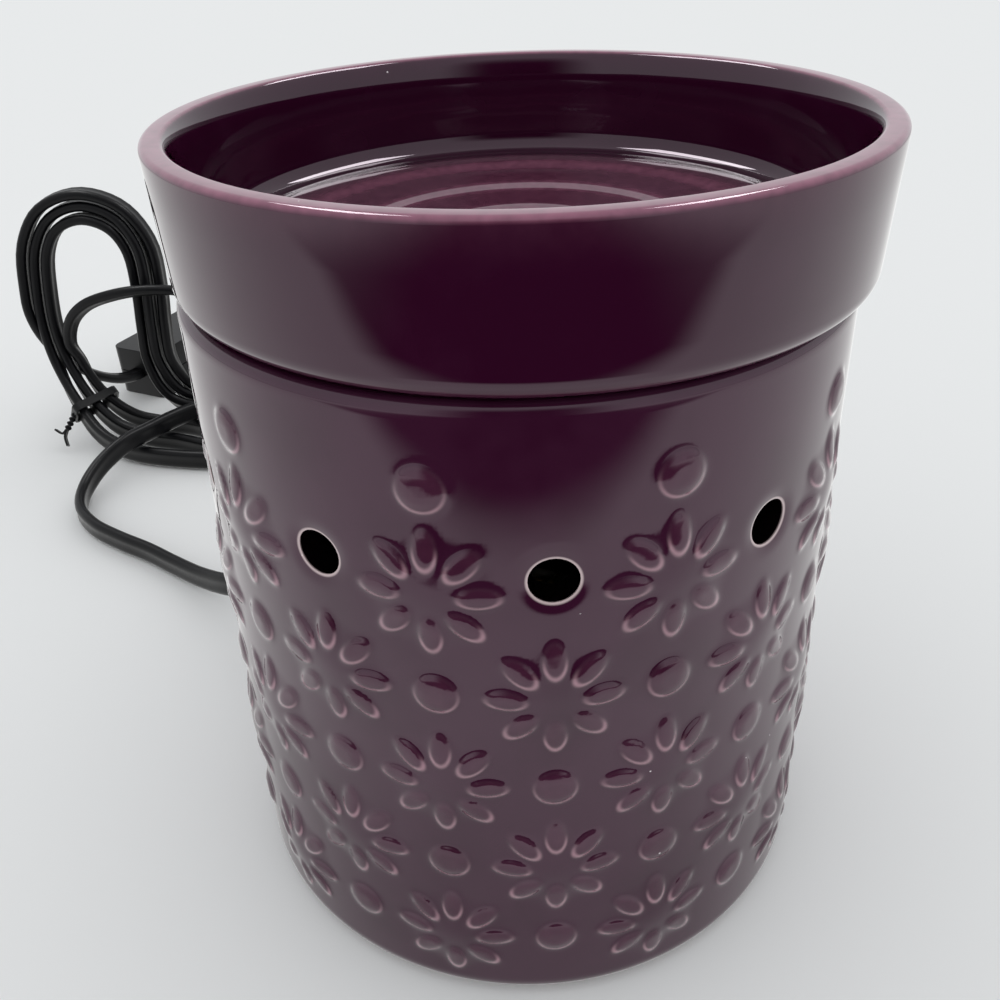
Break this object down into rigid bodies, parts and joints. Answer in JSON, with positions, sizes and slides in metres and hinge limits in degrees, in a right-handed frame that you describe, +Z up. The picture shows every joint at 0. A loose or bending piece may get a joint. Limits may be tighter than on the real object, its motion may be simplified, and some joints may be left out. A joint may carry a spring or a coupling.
{
  "type": "electric wax warmer",
  "caption": "Round glazed ceramic wax warmer: a lift-off wax dish on a vented body with relief flowers, a small lamp inside, and a flat flex with in-line switch and plug.",
  "frame": {"origin": "on the table, on the axis of the ceramic body", "axes": "+Z up, front of the warmer towards -Y, the flex leaves at the back left"},
  "size_m": [0.2459, 0.3512, 0.1506],
  "materials": {
    "plum_glaze": "glossy plum glaze, thinner and pinker on edges",
    "zinc_steel": "zinc plated",
    "brass": "plain brass",
    "foot_rubber": "matt black rubber",
    "bulb_glass": "clear glass",
    "filament_wire": "dull tungsten",
    "flex_sheath": "black vinyl, slightly glossy",
    "black_plastic": "black moulded plastic",
    "base_sheet": "dark painted sheet",
    "holder_ceramic": "white unglazed porcelain",
    "bush_rubber": "black moulded rubber"
  },
  "bodies": {
    "base": {"body_shell": "plum_glaze", "clamp_bar": "zinc_steel", "clamp_screw_left": "zinc_steel", "clamp_screw_right": "zinc_steel", "clamp_nut_left": "zinc_steel", "clamp_nut_right": "zinc_steel", "nipple_nut": "zinc_steel", "switch_screw_left": "zinc_steel", "switch_screw_right": "zinc_steel", "lamp_nipple": "brass", "holder_shell": "brass", "holder_contact": "brass", "terminal_screw_live": "brass", "terminal_screw_neutral": "brass", "plug_blade_front": "brass", "plug_blade_back": "brass", "rubber_foot_1": "foot_rubber", "rubber_foot_2": "foot_rubber", "rubber_foot_3": "foot_rubber", "rubber_foot_4": "foot_rubber", "cord_run": "flex_sheath", "cord_hank": "flex_sheath", "lead_live": "flex_sheath", "lead_neutral": "flex_sheath", "switch_case_lower": "black_plastic", "switch_case_upper": "black_plastic", "plug_body": "black_plastic", "hank_tie": "black_plastic", "base_plate": "base_sheet", "lamp_holder": "holder_ceramic", "cord_bush": "bush_rubber"},
    "dish": {"wax_dish": "plum_glaze"},
    "bulb_carrier": {"bulb_tip": "zinc_steel"},
    "bulb": {"bulb_insulator": "black_plastic", "bulb_cap": "brass", "bulb_glass": "bulb_glass", "bulb_stem": "bulb_glass", "bulb_filament": "filament_wire"},
    "switch_thumb_wheel": {"switch_wheel": "black_plastic"}
  },
  "joints": [
    {"name": "dish_lift", "type": "slide", "parent": "base", "child": "dish", "axis": [0, 0, 1], "range_m": [0, 0.06]},
    {"name": "bulb_rise", "type": "slide", "parent": "base", "child": "bulb_carrier", "axis": [0, 0, 1], "range_m": [0, 0.0089]},
    {"name": "bulb_turn", "type": "hinge", "parent": "bulb_carrier", "child": "bulb", "pos_m": [0, 0, 0.038], "axis": [0, 0, 1], "range_deg": [0, 1260]},
    {"name": "switch_turn", "type": "hinge", "parent": "base", "child": "switch_thumb_wheel", "pos_m": [-0.15086, 0.23707, 0.0102], "axis": [0, 0, 1], "continuous": true}
  ],
  "couplings": [
    {"joint": "bulb_rise", "follows": "bulb_turn", "m_per_rad": 0.00040425}
  ]
}
